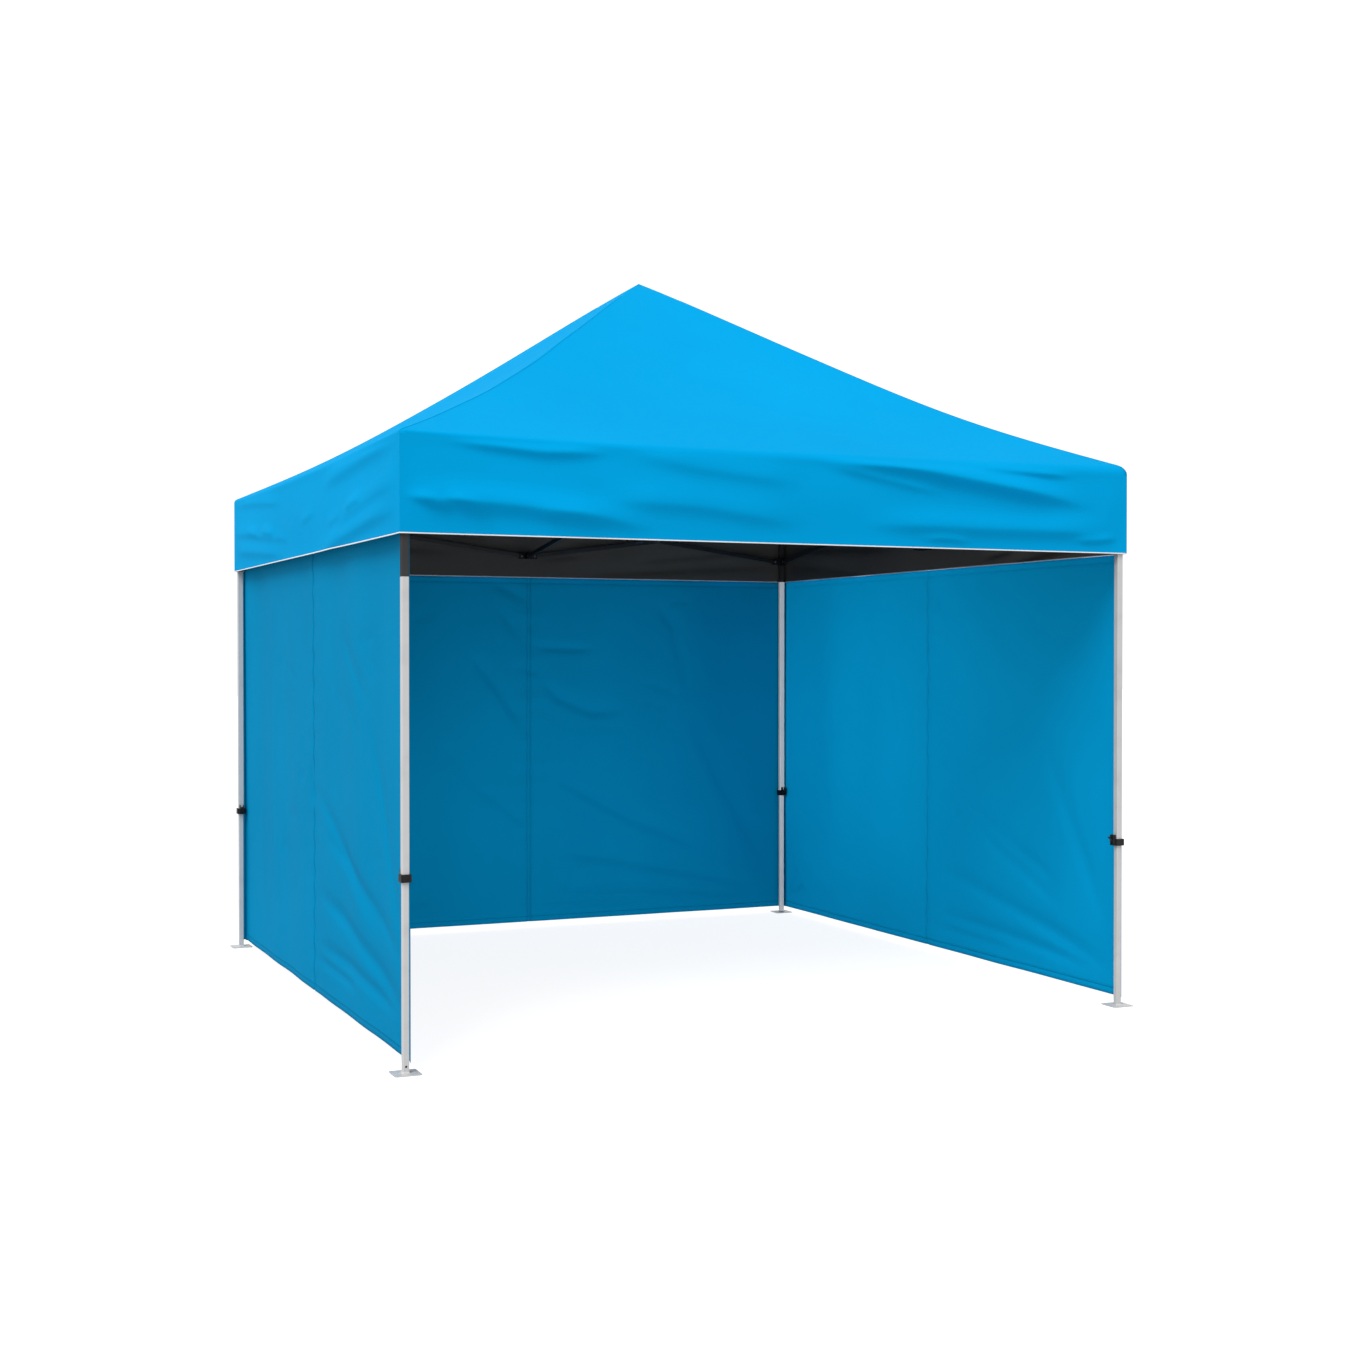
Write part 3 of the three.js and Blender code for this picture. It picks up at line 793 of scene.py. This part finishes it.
def stitch_rows(name, paths, outward):
    """Flat stitches along each path, on both faces of the cloth."""
    points, faces = [], []
    for path in paths:
        steps = np.linalg.norm(np.diff(path, axis=0), axis=1)
        travelled = np.concatenate([[0], np.cumsum(steps)])
        starts = np.arange(STITCH_PITCH, travelled[-1] - STITCH_PITCH, STITCH_PITCH)
        for start in starts:
            ends = [
                np.array([np.interp(start + run, travelled, path[:, k]) for k in range(3)])
                for run in (0, STITCH_LENGTH)
            ]
            across = np.cross(ends[1] - ends[0], outward)
            across = across / np.linalg.norm(across) * STITCH_WIDTH / 2
            for face in (-1, 1):
                rise = outward * face * (CLOTH / 2 + STITCH_RISE)
                corners = [ends[0] - across, ends[0] + across, ends[1] + across, ends[1] - across]
                first = len(points)
                points += [corner + rise for corner in corners]
                points += [corner + outward * face * CLOTH / 4 for corner in corners]
                for side in range(4):
                    after = (side + 1) % 4
                    faces.append((first + side, first + after, first + 4 + after, first + 4 + side))
                faces.append(tuple(range(first, first + 4)))
                faces.append(tuple(range(first + 7, first + 3, -1)))
    return add_mesh(name, points, faces, [BLUE_THREAD], smooth=False)


# The back and right walls hang against the outside of the legs, from just under the valance.
BESIDE_LEGS = WALL_HIGH.x - 0.003
WALL_TOP = VALANCE_BOTTOM - 0.0005
BACK_START = (0.002 - HALF, BESIDE_LEGS)
BACK_CORNER = (BESIDE_LEGS, BESIDE_LEGS)
RIGHT_END = (BESIDE_LEGS, 0.004 - HALF)

# The left wall hangs inside the legs, and its top runs up behind the valance.
LEFT_X = -HALF + 0.021
LEFT_TOP = VALANCE_BOTTOM + 0.045
LEFT_START = (LEFT_X, HALF + 0.012)
LEFT_END = (LEFT_X, 0.02 - HALF)

# Ends in plan, top, outward direction and the seed of its drapes.
WALLS = {
    "wall_left": (LEFT_START, LEFT_END, LEFT_TOP, (1, 0), 3),
    "wall_back": (BACK_START, BACK_CORNER, WALL_TOP, (0, 1), 17),
    "wall_right": (BACK_CORNER, RIGHT_END, WALL_TOP, (1, 0), 29),
}

# Up to this height a wall gathers as its feet rise.
LOW_GATHER_TOP = 1.10


def wall_lift(points):
    """Share of each point that rises with the feet: 1 at the wall's bottom."""
    return 1 - smooth_step((points[:, 2] - WALL_BOTTOM) / (LOW_GATHER_TOP - WALL_BOTTOM))


def wall_pleats(points):
    """Pleats that open as the frame folds: how much less than its legs a point is drawn in."""
    along = points[:, 0] + points[:, 1]
    off_corner = HALF - np.minimum(np.abs(points[:, 0]), np.abs(points[:, 1]))
    ends = smooth_step(off_corner / PLEAT_ENDS)
    return WALL_PLEAT * ends * (1 - np.cos(2 * np.pi * along / PLEAT_PITCH)) / 2


for name, (start, end, top, outward, seed) in WALLS.items():
    wall, stitches, length, drop = make_wall(name, start, end, WALL_BOTTOM, top, outward, seed)
    # The left wall's pleats go inwards, and it keeps its distance to the truss beside it.
    inside = name == "wall_left"
    for piece in (wall, stitches):
        places = vertices_of(piece)
        pleats = wall_pleats(places) * (-1 if inside else 1)
        follow_frame(piece, wall_lift(places), pleats=pleats, plane=-HALF if inside else None)
    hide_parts("side_walls")


# ---------------------------------------------------------------- frame finishes and fasteners

def soften_edges(node, width=0.0006):
    """A fine round on a CAD piece's sharp edges, as a modifier over its untouched mesh."""
    bevel = node.modifiers.new("soft_edges", "BEVEL")
    bevel.limit_method = "ANGLE"
    bevel.angle_limit = math.radians(50)
    bevel.width = width
    bevel.segments = 2


for part in frame["record"]["subparts"]:
    node = NODES[part["node"]]
    for material_slot in node.material_slots:
        material_slot.material = SLOT_MATERIALS[part["material_slot"]]
    if part["material_slot"] == "black_nylon":
        soften_edges(node)


def lathe(profile, steps=20):
    """Points and faces of a closed turned shape about Z from (radius, height) points."""
    points = [(0, 0, profile[0][1])]
    for radius, height in profile[1:-1]:
        for step in range(steps):
            angle = 2 * math.pi * step / steps
            points.append((radius * math.cos(angle), radius * math.sin(angle), height))
    points.append((0, 0, profile[-1][1]))
    last = len(points) - 1
    rings = len(profile) - 2
    faces = []
    for step in range(steps):
        after = (step + 1) % steps
        faces.append((0, 1 + after, 1 + step))
        faces.append((last, last - steps + step, last - steps + after))
        for ring in range(rings - 1):
            low, high = 1 + ring * steps, 1 + (ring + 1) * steps
            faces.append((low + step, low + after, high + after, high + step))
    return np.array(points), faces


RIVET_SHANK = 0.0031
RIVET_HEAD = 0.0052
DOME_HEIGHT = 0.0024
WASHER_RADIUS = 1.45 * RIVET_HEAD
WASHER_HEIGHT = 0.0009


def rivet_profile(length):
    """A rivet centred on its own middle: a domed head on a washer at each end."""
    half = length / 2
    washer_top = half + WASHER_HEIGHT
    dome = [
        (RIVET_HEAD * math.cos(t), washer_top + DOME_HEIGHT * math.sin(t))
        for t in np.linspace(0, math.pi / 2, 5)
    ]
    top = [(RIVET_SHANK, half), (WASHER_RADIUS, half), (WASHER_RADIUS, washer_top), *dome]
    top[-1] = (0, top[-1][1])
    return [(r, -z) for r, z in reversed(top)] + top


def fasteners(name, body, length, places):
    """Rivets of one length in one piece. places lists (centre, axis) pairs."""
    profile_points, profile_faces = lathe(rivet_profile(length))
    points, faces = [], []
    for centre, axis in places:
        spin = Vector(axis).to_track_quat("Z", "Y").to_matrix()
        first = len(points)
        points += [np.array(spin @ Vector(p)) + np.array(centre) for p in profile_points]
        faces += [tuple(first + i for i in face) for face in profile_faces]
    piece = add_mesh(name, points, faces, [ZINC])
    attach(piece, body)


def quarter_turn(vector, quarters):
    return turn(np.array([vector], float), quarters)[0]


def middle_of(node):
    low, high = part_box(node)
    return np.array((low + high) / 2)


UPPER_Z = middle_of("upper_mid_front")[2]
LOWER_Z = middle_of("lower_mid_front")[2]


def corner_fasteners():
    """Rivets of the bar ends in the top brackets and the sliders."""
    for quarter, corner in enumerate(CORNERS):
        leg = np.array([-HALF, -HALF, 0])
        for kind, body, z, side in (
            ("top_bracket", f"leg_{corner}", UPPER_Z, -1),
            ("slider", f"slider_{corner}", LOWER_Z, 1),
        ):
            along_x = leg + [BRACKET_REACH, side * BAR_OFFSET, z]
            along_y = leg + [side * BAR_OFFSET, BRACKET_REACH, z]
            places = [
                (quarter_turn(along_x, quarter), quarter_turn((0, 1, 0), quarter)),
                (quarter_turn(along_y, quarter), quarter_turn((1, 0, 0), quarter)),
            ]
            fasteners(f"{kind}_rivets_{corner}", body, FORK_WIDTH, places)


def middle_fasteners():
    """Rivets of the middle brackets and of the crossings of the bars."""
    run = HALF - BRACKET_REACH - MIDDLE_REACH
    crossing_z = (UPPER_Z + LOWER_Z) / 2
    for quarter, side in enumerate(SIDES):
        for level, z, offset in (("upper", UPPER_Z, 1), ("lower", LOWER_Z, -1)):
            shift = offset * BAR_OFFSET
            ends = (
                ((MIDDLE_REACH, -HALF + shift, z), (0, 1, 0)),
                ((-MIDDLE_REACH, -HALF + shift, z), (0, 1, 0)),
                ((-shift, -HALF + MIDDLE_REACH, z), (1, 0, 0)),
            )
            places = [(quarter_turn(at, quarter), quarter_turn(axis, quarter)) for at, axis in ends]
            fasteners(f"{level}_mid_rivets_{side}", f"{level}_mid_{side}", FORK_WIDTH, places)
        span = 2 * (BAR_OFFSET + BAR_WIDTH / 2)
        for direction, corner in ((-1, CORNERS[quarter]), (1, CORNERS[(quarter + 1) % 4])):
            at = (direction * (MIDDLE_REACH + run / 2), -HALF, crossing_z)
            place = (quarter_turn(at, quarter), quarter_turn((0, 1, 0), quarter))
            body = f"rail_up_{side}_{corner}"
            fasteners(f"crossing_rivet_{side}_{corner}", body, span, [place])
        at = (0, -(BRACKET_REACH + run / 2), crossing_z)
        place = (quarter_turn(at, quarter), quarter_turn((1, 0, 0), quarter))
        fasteners(f"crossing_rivet_{side}_middle", f"cross_down_{side}", span, [place])


def hub_fasteners():
    """Rivets of the cross bars' ends in the two hubs."""
    for level, body, z, offset in (("upper", "root", UPPER_Z, 1), ("lower", "lower_hub", LOWER_Z, -1)):
        places = []
        for quarter in range(4):
            at = (BRACKET_REACH, offset * BAR_OFFSET, z)
            places.append((quarter_turn(at, quarter), quarter_turn((0, 1, 0), quarter)))
        fasteners(f"{level}_hub_rivets", body, FORK_WIDTH, places)


def square_ring(size, radius, corner_steps=4):
    """Plan points around a square with round corners, anticlockwise."""
    straight = size / 2 - radius
    plan = []
    for quarter in range(4):
        for step in range(corner_steps + 1):
            angle = (quarter + step / corner_steps) * math.pi / 2
            sx = 1 if quarter in (0, 3) else -1
            sy = 1 if quarter in (0, 1) else -1
            x = sx * straight + radius * math.cos(angle)
            y = sy * straight + radius * math.sin(angle)
            plan.append((x, y))
    return np.array(plan)


def sleeve(name, centre, sections, material):
    """A closed band from (size, corner radius, z) sections, which end where they start."""
    points, faces = [], []
    for size, radius, z in sections:
        plan = square_ring(size, radius) + np.array(centre)[:2]
        points += [(x, y, z) for x, y in plan]
    count = len(points) // len(sections)
    for section in range(len(sections)):
        after = (section + 1) % len(sections)
        for i in range(count):
            j = (i + 1) % count
            here, there = section * count, after * count
            faces.append((here + i, here + j, there + j, there + i))
    return add_mesh(name, points, faces, [material], smooth=False)


# The dark sleeves paint the shade that the tops of the legs lie in under the roof. Only the front left
# one hangs low enough to show below the valance, where it paints shade on that leg.
LONG_SHADE_WRAP = {"front_left": 0.145}
WRAP_GAP = 0.0001
WRAP_SIZE = 0.0006
WRAP_BELOW_BRACKET = 0.030


def leg_shade_sleeves():
    """A dark sleeve around the top of each outer leg, painted shade for the leg under the roof, thin
    enough for the slider to pass.
    """
    for corner in CORNERS:
        centre = middle_of(f"outer_leg_{corner}")
        low = VALANCE_BOTTOM - LONG_SHADE_WRAP.get(corner, 0)
        high = UPPER_Z - WRAP_BELOW_BRACKET
        inner = (OUTER_LEG + WRAP_GAP, 0.0025)
        outer = (OUTER_LEG + WRAP_SIZE, 0.0028)
        sections = ((*inner, low), (*outer, low), (*outer, high), (*inner, high))
        wrap = sleeve(f"leg_shade_sleeve_{corner}", centre, sections, SHADE_SLEEVE_DARK)
        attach(wrap, f"leg_{corner}")


def foot_welds():
    """The fillet of weld between each inner leg and its foot plate, as (size, radius, z) sections."""
    for corner in CORNERS:
        centre = middle_of(f"inner_leg_{corner}")
        low, size = FOOT_THICKNESS, INNER_LEG
        sections = (
            (size - 0.0002, 0.0025, low - 0.0004),
            (size + 0.0090, 0.0060, low - 0.0004),
            (size + 0.0084, 0.0058, low + 0.0006),
            (size + 0.0040, 0.0040, low + 0.0024),
            (size + 0.0008, 0.0028, low + 0.0048),
            (size - 0.0002, 0.0025, low + 0.0048),
        )
        weld = sleeve(f"foot_weld_{corner}", centre, sections, SILVER)
        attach(weld, f"inner_leg_{corner}")


corner_fasteners()
middle_fasteners()
hub_fasteners()
leg_shade_sleeves()
foot_welds()


# ---------------------------------------------------------------- stage, light and camera

def make_floor():
    """A wide plain floor."""
    reach = 60
    corners = [(-reach, -reach, 0), (reach, -reach, 0), (reach, reach, 0), (-reach, reach, 0)]
    floor = add_mesh("floor", corners, [(0, 1, 2, 3)], [])
    material, nodes, links, shader = new_material("pale_floor")
    coords = nodes.new("ShaderNodeTexCoord").outputs["Object"]
    ramp = colour_ramp(nodes, (0.34,) * 3, (0.37,) * 3)
    links.new(noise(nodes, links, coords, scale=0.6, detail=2), ramp.inputs["Fac"])
    links.new(ramp.outputs["Color"], shader.inputs["Base Color"])
    shader.inputs["Roughness"].default_value = 0.9
    shader.inputs["Specular IOR Level"].default_value = 0.1
    shader.inputs["Emission Color"].default_value = (1, 1, 1, 1)
    # The floor looks white to the camera and lights the object only a little from below.
    seen = nodes.new("ShaderNodeLightPath").outputs["Is Camera Ray"]
    glow = scale_and_add(nodes, links, seen, gain=0.58, base=0.30)
    links.new(glow, shader.inputs["Emission Strength"])
    floor.data.materials.append(material)


def make_sun(strength, origin):
    """A broad soft light that comes from the direction `origin`."""
    light = bpy.data.lights.new("key", "SUN")
    light.energy = strength
    light.angle = math.radians(35)
    lamp = bpy.data.objects.new("key", light)
    bpy.context.scene.collection.objects.link(lamp)
    lamp.rotation_euler = Vector(origin).to_track_quat("Z", "Y").to_euler()


def make_fill(name, power, place, towards, size, lit):
    """A soft panel of light that the camera doesn't see and that reaches only the pieces in `lit`."""
    light = bpy.data.lights.new(name, "AREA")
    light.energy = power
    light.size = size
    lamp = bpy.data.objects.new(name, light)
    bpy.context.scene.collection.objects.link(lamp)
    lamp.location = place
    lamp.rotation_euler = Vector(towards).to_track_quat("-Z", "Y").to_euler()
    lamp.visible_camera = False
    receivers = bpy.data.collections.new(f"{name}_receivers")
    for piece in lit:
        receivers.objects.link(piece)
    lamp.light_linking.receiver_collection = receivers


def make_world(strength):
    """Even daylight of the given strength, with a plain white backdrop."""
    world = bpy.data.worlds.new("studio")
    bpy.context.scene.world = world
    world.use_nodes = True
    nodes, links = world.node_tree.nodes, world.node_tree.links
    sky = nodes["Background"]
    sky.inputs["Color"].default_value = (1, 1, 1, 1)
    sky.inputs["Strength"].default_value = strength
    backdrop = nodes.new("ShaderNodeBackground")
    backdrop.inputs["Color"].default_value = (1, 1, 1, 1)
    backdrop.inputs["Strength"].default_value = 1.1
    path = nodes.new("ShaderNodeLightPath")
    mix = nodes.new("ShaderNodeMixShader")
    links.new(path.outputs["Is Camera Ray"], mix.inputs["Fac"])
    links.new(sky.outputs["Background"], mix.inputs[1])
    links.new(backdrop.outputs["Background"], mix.inputs[2])
    links.new(mix.outputs["Shader"], nodes["World Output"].inputs["Surface"])


def make_camera(place, downward, turned, lens):
    """A level camera at eye height, tilted down and turned from +Y by small angles in radians."""
    camera = bpy.data.cameras.new("camera")
    camera.lens = lens
    camera.sensor_width = 36
    camera.clip_end = 200
    view = bpy.data.objects.new("camera", camera)
    bpy.context.scene.collection.objects.link(view)
    view.location = place
    view.rotation_euler = (math.pi / 2 - downward, 0, turned)
    bpy.context.scene.camera = view


right_wall = [bpy.data.objects["wall_right"]]
back_wall = [bpy.data.objects["wall_back"]]
far_leg = [NODES[f"{kind}_leg_back_right"] for kind in ("outer", "inner")]
# Name, power, place, direction, size and what it lights.
FILLS = (
    ("right_fill", 58, (-1.2, 0.1, 1.65), (1.0, 0.12, -0.25), 1.8, right_wall),
    ("back_fill", 27, (0.05, -0.4, 0.3), (0.3, 0.92, 0.25), 1.6, back_wall),
    ("corner_fill", 8, (0.1, 0.75, 1.0), (1.0, 0.35, 0), 1.2, right_wall),
    ("leg_fill", 75, (-0.6, -1.0, 1.1), (0.65, 0.76, 0), 1.6, far_leg),
)
make_floor()
make_world(strength=0.74)
make_sun(strength=2.35, origin=(-0.56, -0.42, 0.8))
for fill in FILLS:
    make_fill(*fill)
make_camera(place=(-3.1096, -7.3875, 1.3957), downward=0.0119, turned=-0.4212, lens=47.93)
bpy.context.scene.view_settings.view_transform = "Standard"
